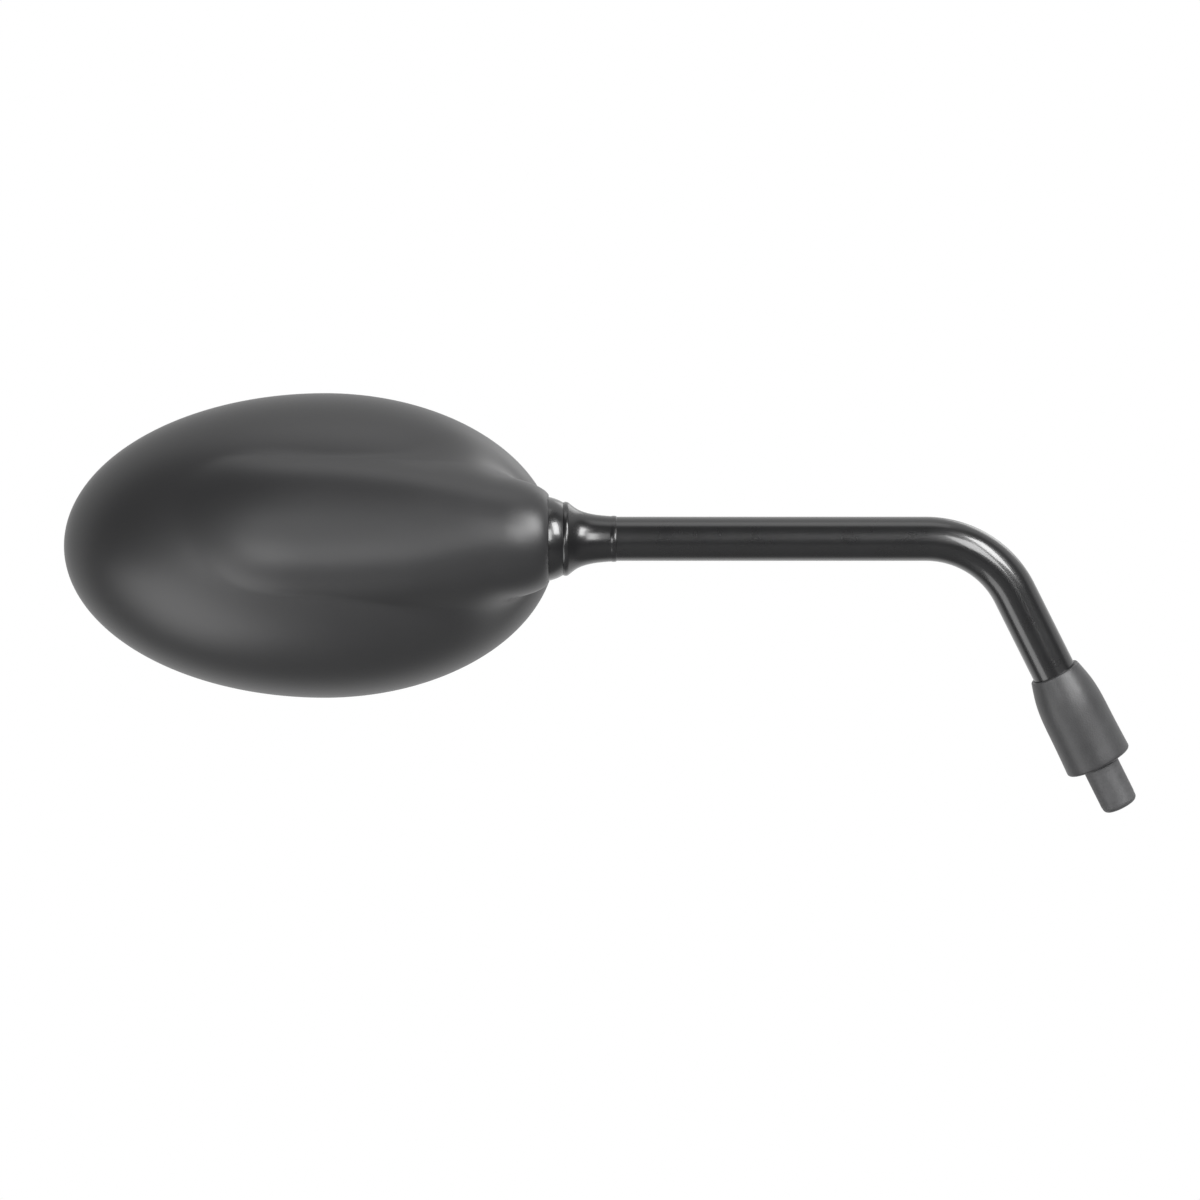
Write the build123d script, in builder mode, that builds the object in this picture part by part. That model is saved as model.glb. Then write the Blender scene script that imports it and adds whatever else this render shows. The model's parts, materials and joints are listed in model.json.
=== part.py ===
from build123d import *
import os
from math import atan2, cos, degrees, radians, sin, sqrt

# Motorcycle mirror: an egg shaped head on a ball joint, at the end of a bent steel stem.
# All sizes are in millimetres. The origin lies on the stud's axis, at the mouth of the rubber boot.
# The glass faces +Y, the head points to -X from the ball, and +Z is up.

# Head: the rim is two half ellipses that meet at the head's widest section.
HEAD_OUTER_LENGTH = 71.3
HEAD_INNER_LENGTH = 63.0
HEAD_HALF_HEIGHT = 41.7
HEAD_DEPTH = 34.5
RIM_OVERHANG = 4.0
RIM_TO_BALL = 22.0
HEAD_WALL = 2.2
RIM_WALL = 1.6
RIM_RECESS = 5.0

# Raised spine on the back of the head, from the neck to where it fades into the dome.
# Each section: share of the way, growth of the neck's radius, rise of the crest over the neck's.
SPINE_FADE = 47.0
SPINE_SECTIONS = [
    (0.00, 0.0, 0.0),
    (0.19, 3.3, 1.4),
    (0.35, 9.1, 1.0),
    (0.57, 15.8, -0.2),
    (0.78, 15.8, -2.9),
    (1.00, 10.8, -12.2),
]

# Glass and what carries it. The glass is part of a large sphere, so the mirror is convex.
GLASS_SPHERE = 1200.0
GLASS_THICKNESS = 2.2
GLASS_SET_BACK = 0.4
GLASS_PAD_THICKNESS = 0.8
CARRIER_THICKNESS = 2.0
SEAL_LIP = 1.05
SEAL_SET_BACK = 0.3
GLASS_OVERLAP = 0.45
PAD_MARGIN = 3.8
CARRIER_MARGIN = 2.8

# Three countersunk screws hold the carrier to bosses in the housing.
CARRIER_SCREW_CIRCLE = 32.0
CARRIER_SCREW_DIAMETER = 2.9
CARRIER_SCREW_LENGTH = 9.0
CARRIER_SCREW_HEAD = 5.2
CARRIER_BOSS_DIAMETER = 7.0
COUNTERSINK_ANGLE = 90.0

# Ball joint in the neck: the ball, two nylon pads, a cup and a coil spring behind it.
BALL_RADIUS = 11.58
BALL_FLAT = 9.0
BALL_SHANK_LENGTH = 14.0
NECK_LENGTH = 2.4
NECK_WALL = 1.9
NECK_ROUND = 2.8
NECK_RING_WALL = 2.2
SEAT_DEPTH = 2.0
CHANNEL_STEP = 1.6
CHANNEL_LENGTH = 30.0
PAD_THICKNESS = 1.2
PAD_HALF_ANGLE = 20.0
PAD_TILT = 38.0
CUP_POLAR_ANGLE = 55.0
CUP_BACK = 5.0
CUP_GAP = 0.4
SPRING_WIRE = 1.6
SPRING_DIAMETER = 12.0
SPRING_LENGTH = 9.0
SPRING_TURNS = 4
SPRING_STUB = 2.5

# Steel bracket that the spring pushes on, and its four screws, washers and brass inserts.
BRACKET_THICKNESS = 2.0
BRACKET_WIDTH = 22.0
BRACKET_BASE = 22.0
BRACKET_FLOOR = 8.5
BRACKET_TOP = 9.0
BRACKET_BEND = 1.5
BRACKET_HOLE_CLEARANCE = 0.25
BRACKET_SCREW_DIAMETER = 4.0
BRACKET_SCREW_HEAD = 7.0
BRACKET_SCREW_HEAD_HEIGHT = 2.6
BRACKET_SCREW_PITCH_X = 10.0
BRACKET_SCREW_PITCH_Z = 13.0
WASHER_DIAMETER = 8.6
WASHER_THICKNESS = 0.8
INSERT_DIAMETER = 5.6
INSERT_LENGTH = 4.5
INSERT_BOSS_DIAMETER = 8.6
INSERT_GROOVE = 0.3
HOLE_SPARE = 0.4
SCREW_HEAD_ROUND = 0.8

# Bent stem: a steel tube that runs along X and then turns down and forward into the leg.
TUBE_DIAMETER = 12.0
TUBE_WALL = 1.7
RUN_LENGTH = 121.0
LEG_LENGTH = 69.0
BEND_ANGLE = 63.5
BEND_RADIUS = 27.0
LEG_ROLL = 16.0

# Flared ferrule that covers the joint of ball and tube.
FERRULE_RIM_RADIUS = 9.9
FERRULE_BEAD = 1.3
FERRULE_LENGTH = 11.5
FERRULE_WALL = 0.5
FERRULE_END_LIP = 1.5
BEAD_RISE = 0.15

# Threaded stud at the leg's end, with its lock nut, spring washer and rubber boot.
STUD_DIAMETER = 10.0
STUD_THREAD = 13.8
STUD_CHAMFER = 1.0
STUD_RELIEF_DEPTH = 0.7
STUD_RELIEF = 0.9
STUD_COLLAR = 13.0
STUD_COLLAR_LENGTH = 2.0
STUD_SHANK_LENGTH = 14.0
NUT_ACROSS_FLATS = 14.0
NUT_HEIGHT = 6.0
NUT_CHAMFER = 0.7
SPRING_WASHER_DIAMETER = 15.4
SPRING_WASHER_THICKNESS = 1.0
BOOT_LENGTH = 27.8
BOOT_TOP_RADIUS = 6.9
BOOT_SHOULDER_RADIUS = 8.4
BOOT_SHOULDER_DROP = 6.116
BOOT_WAIST_RADIUS = 9.0
BOOT_WAIST_HEIGHT = 11.12
BOOT_MOUTH_RADIUS = 9.25
BOOT_MOUTH_ROUND = 0.8
BOOT_CAVITY_RADIUS = 8.25
BOOT_CAVITY_DEPTH = 9.5
BOOT_CAVITY_TAPER = 4.5

# Clearances: a close fit between fixed pieces, and a running fit between the ball's pieces.
FIT = 0.05
RUNNING_FIT = 0.12

# Directions and the two reference points that the rest is placed by.
bend = radians(BEND_ANGLE)
roll = radians(LEG_ROLL)
along = Vector(1, 0, 0)
front = Vector(0, 1, 0)
leg_up = Vector(-cos(bend), -sin(bend) * sin(roll), sin(bend) * cos(roll))
leg_side = leg_up.cross(front).normalized()
corner = leg_up * LEG_LENGTH
ball = corner - along * RUN_LENGTH

# Planes: sections through the ball's axis and the leg's axis, the rim, and the bracket's floor.
neck_section = Plane(ball, x_dir=along, z_dir=(0, -1, 0))
neck_axis = Axis(ball, along)
leg_section = Plane((0, 0, 0), x_dir=leg_side, z_dir=leg_side.cross(leg_up))
leg_base = Plane((0, 0, 0), x_dir=leg_side, z_dir=leg_up)
leg_axis = Axis((0, 0, 0), leg_up)
widest = RIM_OVERHANG - HEAD_INNER_LENGTH
rim_plane = Plane(ball + along * widest + front * RIM_TO_BALL, x_dir=along, z_dir=front)
ledge_plane = rim_plane.offset(-RIM_RECESS)

# Radii around the ball, each built on the one before.
seat_radius = BALL_RADIUS + RUNNING_FIT
pad_outer_radius = seat_radius + PAD_THICKNESS
cup_radius = pad_outer_radius + RUNNING_FIT
channel_radius = seat_radius + CHANNEL_STEP
neck_radius = channel_radius + NECK_WALL

# The pieces behind the ball follow one another along -X from the ball's centre.
cup_back = -cup_radius - CUP_BACK
bracket_face = cup_back - SPRING_LENGTH
bracket_back = bracket_face - BRACKET_THICKNESS
bracket_floor = -BRACKET_FLOOR + BRACKET_THICKNESS
bracket_screw_centre = ball + along * (bracket_back - BRACKET_BASE / 2) + front * bracket_floor
bracket_plane = Plane(bracket_screw_centre, x_dir=along, z_dir=front)
insert_plane = bracket_plane.offset(-BRACKET_THICKNESS)

# Spheres that bound the glass, its pad and the carrier, all about one centre.
glass_front = GLASS_SPHERE
glass_back = glass_front - GLASS_THICKNESS
glass_pad_front = glass_back - FIT
glass_pad_back = glass_pad_front - GLASS_PAD_THICKNESS
carrier_front = glass_pad_back - FIT
carrier_back = carrier_front - CARRIER_THICKNESS
glass_middle = (HEAD_INNER_LENGTH - HEAD_OUTER_LENGTH) / 2
sphere_offset = along * glass_middle - front * (GLASS_SET_BACK + GLASS_SPHERE)
sphere_centre = rim_plane.origin + sphere_offset
screw_sag = sqrt(carrier_front**2 - CARRIER_SCREW_CIRCLE**2)
carrier_screw_plane = Plane(sphere_centre + front * (screw_sag - FIT), x_dir=along, z_dir=front)
seal_inset = RIM_WALL + FIT
lip_inset = RIM_WALL + SEAL_LIP
glass_inset = lip_inset - GLASS_OVERLAP

os.makedirs("parts", exist_ok=True)


def egg(inset):
    """Rim outline, drawn in by inset: two half ellipses that meet at the widest section."""
    height = HEAD_HALF_HEIGHT - inset
    with BuildSketch(mode=Mode.PRIVATE) as outline:
        with BuildLine():
            EllipticalCenterArc((0, 0), HEAD_INNER_LENGTH - inset, height, -90, arc_size=180)
            EllipticalCenterArc((0, 0), HEAD_OUTER_LENGTH - inset, height, 90, arc_size=180)
        make_face()
    return outline.sketch


def head_form(inset, first_section):
    """Dome and spine of the head, drawn in by inset, with the spine from one section outwards."""
    height = HEAD_HALF_HEIGHT - inset
    inner_length = HEAD_INNER_LENGTH - inset
    outer_length = HEAD_OUTER_LENGTH - inset
    spine_end = widest - SPINE_FADE
    with BuildPart(mode=Mode.PRIVATE) as dome:
        with BuildSketch(Plane.XZ):
            with BuildLine():
                EllipticalCenterArc((0, 0), inner_length, height, 0, arc_size=90)
                EllipticalCenterArc((0, 0), outer_length, height, 90, arc_size=90)
                Line((-outer_length, 0), (inner_length, 0))
            make_face()
        revolve(axis=Axis.X, revolution_arc=180)
        scale(by=(1, (HEAD_DEPTH - inset) / height, 1))
    with BuildPart(mode=Mode.PRIVATE) as form:
        for share, growth, rise in SPINE_SECTIONS[first_section:]:
            radius = neck_radius + growth
            station = NECK_LENGTH + share * (spine_end - NECK_LENGTH)
            centre = ball + along * station + front * (growth - rise)
            with BuildSketch(Plane(centre, x_dir=front, z_dir=along)):
                Circle(radius - inset)
        loft()
        if first_section == 0:
            fillet(form.edges().sort_by(Axis.X)[-1], NECK_ROUND)
        split(bisect_by=rim_plane, keep=Keep.BOTTOM)
        with Locations(rim_plane.origin):
            add(dome.part)
    return form.part


def curved_plate(inset, outer_sphere, inner_sphere):
    """Egg shaped plate between two spheres about the glass's centre."""
    with BuildPart(mode=Mode.PRIVATE) as plate:
        with BuildSketch(rim_plane):
            add(egg(inset))
        extrude(amount=-HEAD_DEPTH / 2)
        with Locations(sphere_centre):
            Sphere(outer_sphere, mode=Mode.INTERSECT)
            Sphere(inner_sphere, mode=Mode.SUBTRACT)
    return plate.part


def neck_plane(station):
    """Plane across the neck's axis, at a distance along X from the ball's centre."""
    return Plane(ball + along * station, x_dir=front, z_dir=along)


def carrier_places():
    """Places of the three screws between carrier and housing."""
    return PolarLocations(CARRIER_SCREW_CIRCLE, 3, start_angle=180)


def bracket_places():
    """Places of the four screws that hold the spring's bracket."""
    return GridLocations(BRACKET_SCREW_PITCH_X, BRACKET_SCREW_PITCH_Z, 2, 2)


def polar(radius, angle):
    """Point of a section at a radius and an angle in degrees."""
    return (radius * cos(radians(angle)), radius * sin(radians(angle)))


# Bosses inside the head: three tall ones for the carrier, four short ones for the bracket.
outer_form = head_form(0, 0)
with BuildPart() as carrier_bosses:
    with BuildSketch(carrier_screw_plane):
        with carrier_places():
            Circle(CARRIER_BOSS_DIAMETER / 2)
    extrude(amount=-HEAD_DEPTH - RIM_TO_BALL)
    add(outer_form, mode=Mode.INTERSECT)
    with Locations(sphere_centre):
        Sphere(carrier_back - FIT, mode=Mode.INTERSECT)
with BuildPart() as insert_bosses:
    with BuildSketch(insert_plane):
        with bracket_places():
            Circle(INSERT_BOSS_DIAMETER / 2)
    extrude(amount=-HEAD_DEPTH)
    add(outer_form, mode=Mode.INTERSECT)

# Head housing: a moulded shell with a recess in its rim and a seat for the ball in its neck.
with BuildPart() as housing:
    add(outer_form)
    add(head_form(HEAD_WALL, 1), mode=Mode.SUBTRACT)
    with BuildSketch(ledge_plane):
        add(egg(RIM_WALL))
    extrude(amount=RIM_RECESS, mode=Mode.SUBTRACT)
    with BuildSketch(neck_plane(-SEAT_DEPTH)):
        Circle(seat_radius + NECK_RING_WALL)
    extrude(amount=SEAT_DEPTH + NECK_LENGTH - NECK_ROUND)
    with BuildSketch(neck_section):
        with BuildLine():
            CenterArc((0, 0), seat_radius, 0, 90)
            Polyline(
                (0, seat_radius),
                (-SEAT_DEPTH, seat_radius),
                (-SEAT_DEPTH, channel_radius),
                (-CHANNEL_LENGTH, channel_radius),
                (-CHANNEL_LENGTH, 0),
                (seat_radius, 0),
            )
        make_face()
    revolve(axis=neck_axis, mode=Mode.SUBTRACT)
    add(carrier_bosses.part)
    add(insert_bosses.part)
    with BuildSketch(carrier_screw_plane):
        with carrier_places():
            Circle(CARRIER_SCREW_DIAMETER / 2 + FIT)
    extrude(amount=-CARRIER_SCREW_LENGTH - HOLE_SPARE, mode=Mode.SUBTRACT)
    with BuildSketch(insert_plane):
        with bracket_places():
            Circle(INSERT_DIAMETER / 2 + FIT)
    extrude(amount=-INSERT_LENGTH - HOLE_SPARE, mode=Mode.SUBTRACT)
housing.part.label = "housing"
export_step(housing.part, "parts/housing.step")

# Mirror glass, the foam pad behind it and the plastic carrier that the pad is glued to.
with BuildPart() as mirror_glass:
    add(curved_plate(glass_inset, glass_front, glass_back))
mirror_glass.part.label = "mirror_glass"
export_step(mirror_glass.part, "parts/mirror_glass.step")

with BuildPart() as glass_pad:
    add(curved_plate(glass_inset + PAD_MARGIN, glass_pad_front, glass_pad_back))
glass_pad.part.label = "glass_pad"
export_step(glass_pad.part, "parts/glass_pad.step")

with BuildPart() as glass_carrier:
    add(curved_plate(glass_inset + CARRIER_MARGIN, carrier_front, carrier_back))
    with Locations(carrier_screw_plane):
        with carrier_places():
            CounterSinkHole(
                CARRIER_SCREW_DIAMETER / 2 + FIT,
                CARRIER_SCREW_HEAD / 2 + FIT,
                CARRIER_SCREW_LENGTH,
                COUNTERSINK_ANGLE,
            )
glass_carrier.part.label = "glass_carrier"
export_step(glass_carrier.part, "parts/glass_carrier.step")

# Three countersunk screws, their heads just under the carrier's face.
head = CARRIER_SCREW_HEAD / 2
shank = CARRIER_SCREW_DIAMETER / 2
with BuildPart() as carrier_screw:
    with BuildSketch(Plane.XZ):
        with BuildLine():
            Polyline((0, -FIT), (head - FIT, -FIT), (shank, shank - head), (shank, -CARRIER_SCREW_LENGTH))
            Line((shank, -CARRIER_SCREW_LENGTH), (0, -CARRIER_SCREW_LENGTH))
            Line((0, -CARRIER_SCREW_LENGTH), (0, -FIT))
        make_face()
    revolve(axis=Axis.Z)

with BuildPart() as carrier_screws:
    with Locations(carrier_screw_plane):
        with carrier_places():
            add(carrier_screw.part)
carrier_screws.part.label = "carrier_screws"
export_step(carrier_screws.part, "parts/carrier_screws.step")

# Rubber seal in the rim's recess, with a lip over the edge of the glass.
with BuildPart() as rim_seal:
    with BuildSketch(ledge_plane.offset(FIT)):
        add(egg(seal_inset))
        add(egg(lip_inset), mode=Mode.SUBTRACT)
    extrude(amount=RIM_RECESS - FIT - SEAL_SET_BACK)
    add(curved_plate(glass_inset - FIT, glass_front + FIT, glass_back - FIT), mode=Mode.SUBTRACT)
rim_seal.part.label = "rim_seal"
export_step(rim_seal.part, "parts/rim_seal.step")

# Ball on the stem's inner end, turned in one piece with the shank that is pressed into the tube.
shank_radius = TUBE_DIAMETER / 2 - TUBE_WALL - FIT
flat_radius = sqrt(BALL_RADIUS**2 - BALL_FLAT**2)
flat_angle = degrees(atan2(flat_radius, BALL_FLAT))
shank_end = BALL_FLAT + BALL_SHANK_LENGTH
with BuildPart() as ball_stud:
    with BuildSketch(neck_section):
        with BuildLine():
            CenterArc((0, 0), BALL_RADIUS, flat_angle, 180 - flat_angle)
            Polyline((-BALL_RADIUS, 0), (shank_end, 0), (shank_end, shank_radius), (BALL_FLAT, shank_radius))
            Line((BALL_FLAT, shank_radius), (BALL_FLAT, flat_radius))
        make_face()
    revolve(axis=neck_axis)
ball_stud.part.label = "ball_stud"
export_step(ball_stud.part, "parts/ball_stud.step")


def ball_pad(angle):
    """Nylon pad: a dished cap that lies on the ball, centred at an angle in the neck's section."""
    edge = angle + PAD_HALF_ANGLE
    with BuildPart(mode=Mode.PRIVATE) as pad:
        with BuildSketch(neck_section):
            with BuildLine():
                CenterArc((0, 0), seat_radius, angle, PAD_HALF_ANGLE)
                CenterArc((0, 0), pad_outer_radius, angle, PAD_HALF_ANGLE)
                Line(polar(seat_radius, angle), polar(pad_outer_radius, angle))
                Line(polar(seat_radius, edge), polar(pad_outer_radius, edge))
            make_face()
        revolve(axis=Axis(ball, neck_section.from_local_coords(polar(1, angle)) - ball))
    return pad.part


# Two nylon pads between the ball and the cup, above and below the neck's axis.
with BuildPart() as upper_ball_pad:
    add(ball_pad(180 - PAD_TILT))
upper_ball_pad.part.label = "upper_ball_pad"
export_step(upper_ball_pad.part, "parts/upper_ball_pad.step")

with BuildPart() as lower_ball_pad:
    add(ball_pad(180 + PAD_TILT))
lower_ball_pad.part.label = "lower_ball_pad"
export_step(lower_ball_pad.part, "parts/lower_ball_pad.step")

# Cup that presses the pads onto the ball, with a stub that centres the spring.
cup_outer = channel_radius - CUP_GAP
stub_radius = SPRING_DIAMETER / 2 - SPRING_WIRE - 2 * RUNNING_FIT
stub_end = cup_back - SPRING_STUB
cup_edge = polar(cup_radius, 180 - CUP_POLAR_ANGLE)
with BuildPart() as pressure_cup:
    with BuildSketch(neck_section):
        with BuildLine():
            CenterArc((0, 0), cup_radius, 180 - CUP_POLAR_ANGLE, CUP_POLAR_ANGLE)
            Polyline(cup_edge, (cup_edge[0], cup_outer), (cup_back, cup_outer), (cup_back, stub_radius))
            Polyline((cup_back, stub_radius), (stub_end, stub_radius), (stub_end, 0), (-cup_radius, 0))
        make_face()
    revolve(axis=neck_axis)
pressure_cup.part.label = "pressure_cup"
export_step(pressure_cup.part, "parts/pressure_cup.step")

# Coil spring between the cup and the bracket.
coil_start = cup_back - SPRING_WIRE / 2 - FIT
coil_height = SPRING_LENGTH - SPRING_WIRE - 2 * FIT
coil_radius = (SPRING_DIAMETER - SPRING_WIRE) / 2
with BuildPart() as pressure_spring:
    with BuildLine() as coil:
        Helix(coil_height / SPRING_TURNS, coil_height, coil_radius, ball + along * coil_start, (-1, 0, 0))
    with BuildSketch(Plane(coil.line @ 0, z_dir=coil.line % 0)):
        Circle(SPRING_WIRE / 2)
    sweep(path=coil.line, is_frenet=True)
pressure_spring.part.label = "pressure_spring"
export_step(pressure_spring.part, "parts/pressure_spring.step")

# Bent steel bracket: an upright that the spring pushes on, and a foot screwed to the housing.
bracket_end = bracket_back - BRACKET_BASE
with BuildPart() as spring_bracket:
    with BuildSketch(Plane(ball)) as bracket_side:
        with BuildLine():
            Polyline(
                (bracket_face, BRACKET_TOP),
                (bracket_face, -BRACKET_FLOOR),
                (bracket_end, -BRACKET_FLOOR),
                (bracket_end, bracket_floor),
                (bracket_back, bracket_floor),
                (bracket_back, BRACKET_TOP),
                close=True,
            )
        make_face()
        inside_corner = bracket_side.vertices().sort_by_distance((bracket_back, bracket_floor, 0))[0]
        fillet(inside_corner, BRACKET_BEND)
        outside_corner = bracket_side.vertices().sort_by_distance((bracket_face, -BRACKET_FLOOR, 0))[0]
        fillet(outside_corner, BRACKET_BEND + BRACKET_THICKNESS)
    extrude(amount=BRACKET_WIDTH / 2, both=True)
    with BuildSketch(neck_plane(bracket_face)):
        Circle(stub_radius)
    extrude(amount=SPRING_STUB)
    with BuildSketch(bracket_plane):
        with bracket_places():
            Circle(BRACKET_SCREW_DIAMETER / 2 + BRACKET_HOLE_CLEARANCE)
    extrude(amount=-BRACKET_THICKNESS, mode=Mode.SUBTRACT)
spring_bracket.part.label = "spring_bracket"
export_step(spring_bracket.part, "parts/spring_bracket.step")

# Washers, screws and brass inserts that hold the bracket.
with BuildPart() as bracket_washers:
    with BuildSketch(bracket_plane):
        with bracket_places():
            Circle(WASHER_DIAMETER / 2)
            Circle(BRACKET_SCREW_DIAMETER / 2 + BRACKET_HOLE_CLEARANCE, mode=Mode.SUBTRACT)
    extrude(amount=WASHER_THICKNESS)
bracket_washers.part.label = "bracket_washers"
export_step(bracket_washers.part, "parts/bracket_washers.step")

grip = WASHER_THICKNESS + BRACKET_THICKNESS + INSERT_LENGTH
with BuildPart() as bracket_screws:
    with BuildSketch(bracket_plane.offset(WASHER_THICKNESS)):
        with bracket_places():
            Circle(BRACKET_SCREW_HEAD / 2)
    extrude(amount=BRACKET_SCREW_HEAD_HEIGHT)
    fillet(bracket_screws.edges().group_by(Axis.Y)[-1], SCREW_HEAD_ROUND)
    with BuildSketch(bracket_plane.offset(WASHER_THICKNESS)):
        with bracket_places():
            Circle(BRACKET_SCREW_DIAMETER / 2)
    extrude(amount=-grip)
bracket_screws.part.label = "bracket_screws"
export_step(bracket_screws.part, "parts/bracket_screws.step")

with BuildPart() as threaded_inserts:
    with BuildSketch(insert_plane):
        with bracket_places():
            Circle(INSERT_DIAMETER / 2)
            Circle(BRACKET_SCREW_DIAMETER / 2 + FIT, mode=Mode.SUBTRACT)
    extrude(amount=-INSERT_LENGTH)
    with BuildSketch(insert_plane.offset(-INSERT_LENGTH / 3)):
        with bracket_places():
            Circle(INSERT_DIAMETER / 2)
            Circle(INSERT_DIAMETER / 2 - INSERT_GROOVE, mode=Mode.SUBTRACT)
    extrude(amount=-INSERT_LENGTH / 3, mode=Mode.SUBTRACT)
threaded_inserts.part.label = "threaded_inserts"
export_step(threaded_inserts.part, "parts/threaded_inserts.step")

# Bent stem tube, from the ball's flat along X, round the bend and down the leg to the stud's collar.
tube_foot = STUD_COLLAR + STUD_COLLAR_LENGTH
with BuildPart() as stem_tube:
    with BuildLine() as stem_path:
        FilletPolyline(ball + along * BALL_FLAT, corner, leg_up * tube_foot, radius=BEND_RADIUS)
    with BuildSketch(neck_plane(BALL_FLAT)):
        Circle(TUBE_DIAMETER / 2)
        Circle(TUBE_DIAMETER / 2 - TUBE_WALL, mode=Mode.SUBTRACT)
    sweep(path=stem_path.line)
stem_tube.part.label = "stem_tube"
export_step(stem_tube.part, "parts/stem_tube.step")

# Flared ferrule: a beaded rim round the ball, a hollow taper and a small lip on the tube.
cap_radius = BALL_RADIUS + FIT
rim_start = sqrt(cap_radius**2 - FERRULE_RIM_RADIUS**2)
rim_end = rim_start + FERRULE_BEAD
inner_face = BALL_FLAT + FIT
inner_radius = sqrt(cap_radius**2 - inner_face**2)
tube_radius = TUBE_DIAMETER / 2 + FIT
end_radius = tube_radius + FERRULE_WALL
ferrule_end = BALL_FLAT + FERRULE_LENGTH
lip_start = ferrule_end - FERRULE_END_LIP
inner_angle = degrees(atan2(inner_radius, inner_face))
rim_angle = degrees(atan2(FERRULE_RIM_RADIUS, rim_start))


def taper_point(way, drop):
    """Point on the ferrule's taper, by its share of the way and of the drop in radius."""
    radius = FERRULE_RIM_RADIUS - drop * (FERRULE_RIM_RADIUS - end_radius)
    return (rim_end + way * (lip_start - rim_end), radius)


with BuildPart() as neck_ferrule:
    with BuildSketch(neck_section):
        with BuildLine():
            bead_top = (rim_start + FERRULE_BEAD / 2, FERRULE_RIM_RADIUS + BEAD_RISE)
            ThreePointArc((rim_start, FERRULE_RIM_RADIUS), bead_top, (rim_end, FERRULE_RIM_RADIUS))
            Spline(taper_point(0, 0), taper_point(0.2, 0.466), taper_point(0.41, 0.737), taper_point(1, 1))
            lip_top = ((lip_start + ferrule_end) / 2, end_radius + BEAD_RISE)
            ThreePointArc((lip_start, end_radius), lip_top, (ferrule_end, end_radius))
            Polyline((ferrule_end, end_radius), (ferrule_end, tube_radius), (inner_face, tube_radius))
            Line((inner_face, tube_radius), (inner_face, inner_radius))
            CenterArc((0, 0), cap_radius, inner_angle, rim_angle - inner_angle)
        make_face()
    revolve(axis=neck_axis)
neck_ferrule.part.label = "neck_ferrule"
export_step(neck_ferrule.part, "parts/neck_ferrule.step")

# Threaded stud: the mounting thread, a relief groove, the lock nut's thread, a collar and a shank.
stud_radius = STUD_DIAMETER / 2
relief_radius = stud_radius - STUD_RELIEF_DEPTH
with BuildPart() as threaded_stud:
    with BuildSketch(leg_section):
        with BuildLine():
            Polyline(
                (0, -STUD_THREAD),
                (stud_radius - STUD_CHAMFER, -STUD_THREAD),
                (stud_radius, STUD_CHAMFER - STUD_THREAD),
                (stud_radius, 0),
                (relief_radius, 0),
                (relief_radius, STUD_RELIEF),
                (stud_radius, STUD_RELIEF),
                (stud_radius, STUD_COLLAR),
                (TUBE_DIAMETER / 2, STUD_COLLAR),
                (TUBE_DIAMETER / 2, tube_foot),
                (shank_radius, tube_foot),
                (shank_radius, tube_foot + STUD_SHANK_LENGTH),
                (0, tube_foot + STUD_SHANK_LENGTH),
                close=True,
            )
        make_face()
    revolve(axis=leg_axis)
threaded_stud.part.label = "threaded_stud"
export_step(threaded_stud.part, "parts/threaded_stud.step")

# Spring washer and lock nut, run up the stud inside the boot.
with BuildPart() as spring_washer:
    with BuildSketch(leg_base.offset(STUD_RELIEF)):
        Circle(SPRING_WASHER_DIAMETER / 2)
        Circle(stud_radius + FIT, mode=Mode.SUBTRACT)
    extrude(amount=SPRING_WASHER_THICKNESS)
spring_washer.part.label = "spring_washer"
export_step(spring_washer.part, "parts/spring_washer.step")

nut_foot = STUD_RELIEF + SPRING_WASHER_THICKNESS
nut_top = nut_foot + NUT_HEIGHT
nut_flat = NUT_ACROSS_FLATS / 2
nut_corner = nut_flat / cos(radians(30))
with BuildPart() as lock_nut:
    with BuildSketch(leg_base.offset(nut_foot)):
        RegularPolygon(nut_flat, 6, major_radius=False)
    extrude(amount=NUT_HEIGHT)
    with BuildSketch(leg_section):
        with BuildLine():
            Polyline(
                (stud_radius + FIT, nut_foot),
                (nut_flat, nut_foot),
                (nut_corner, nut_foot + NUT_CHAMFER),
                (nut_corner, nut_top - NUT_CHAMFER),
                (nut_flat, nut_top),
                (stud_radius + FIT, nut_top),
                close=True,
            )
        make_face()
    revolve(axis=leg_axis, mode=Mode.INTERSECT)
lock_nut.part.label = "lock_nut"
export_step(lock_nut.part, "parts/lock_nut.step")

# Rubber boot: a swelling sleeve that grips the tube and covers the lock nut.
bore_start = BOOT_CAVITY_DEPTH + BOOT_CAVITY_TAPER
with BuildPart() as stud_boot:
    with BuildSketch(leg_section):
        with BuildLine():
            Spline(
                (BOOT_TOP_RADIUS, BOOT_LENGTH),
                (BOOT_SHOULDER_RADIUS, BOOT_LENGTH - BOOT_SHOULDER_DROP),
                (BOOT_WAIST_RADIUS, BOOT_WAIST_HEIGHT),
                (BOOT_MOUTH_RADIUS, BOOT_MOUTH_ROUND),
            )
            mouth_edge = BOOT_MOUTH_RADIUS - BOOT_MOUTH_ROUND
            RadiusArc((BOOT_MOUTH_RADIUS, BOOT_MOUTH_ROUND), (mouth_edge, 0), BOOT_MOUTH_ROUND)
            Polyline(
                (mouth_edge, 0),
                (BOOT_CAVITY_RADIUS, 0),
                (BOOT_CAVITY_RADIUS, BOOT_CAVITY_DEPTH),
                (tube_radius, bore_start),
                (tube_radius, BOOT_LENGTH),
                (BOOT_TOP_RADIUS, BOOT_LENGTH),
            )
        make_face()
    revolve(axis=leg_axis)
stud_boot.part.label = "stud_boot"
export_step(stud_boot.part, "parts/stud_boot.step")
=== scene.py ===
import itertools
import json
import math

import bmesh
import bpy
import numpy as np
from mathutils import Matrix, Vector


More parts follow.
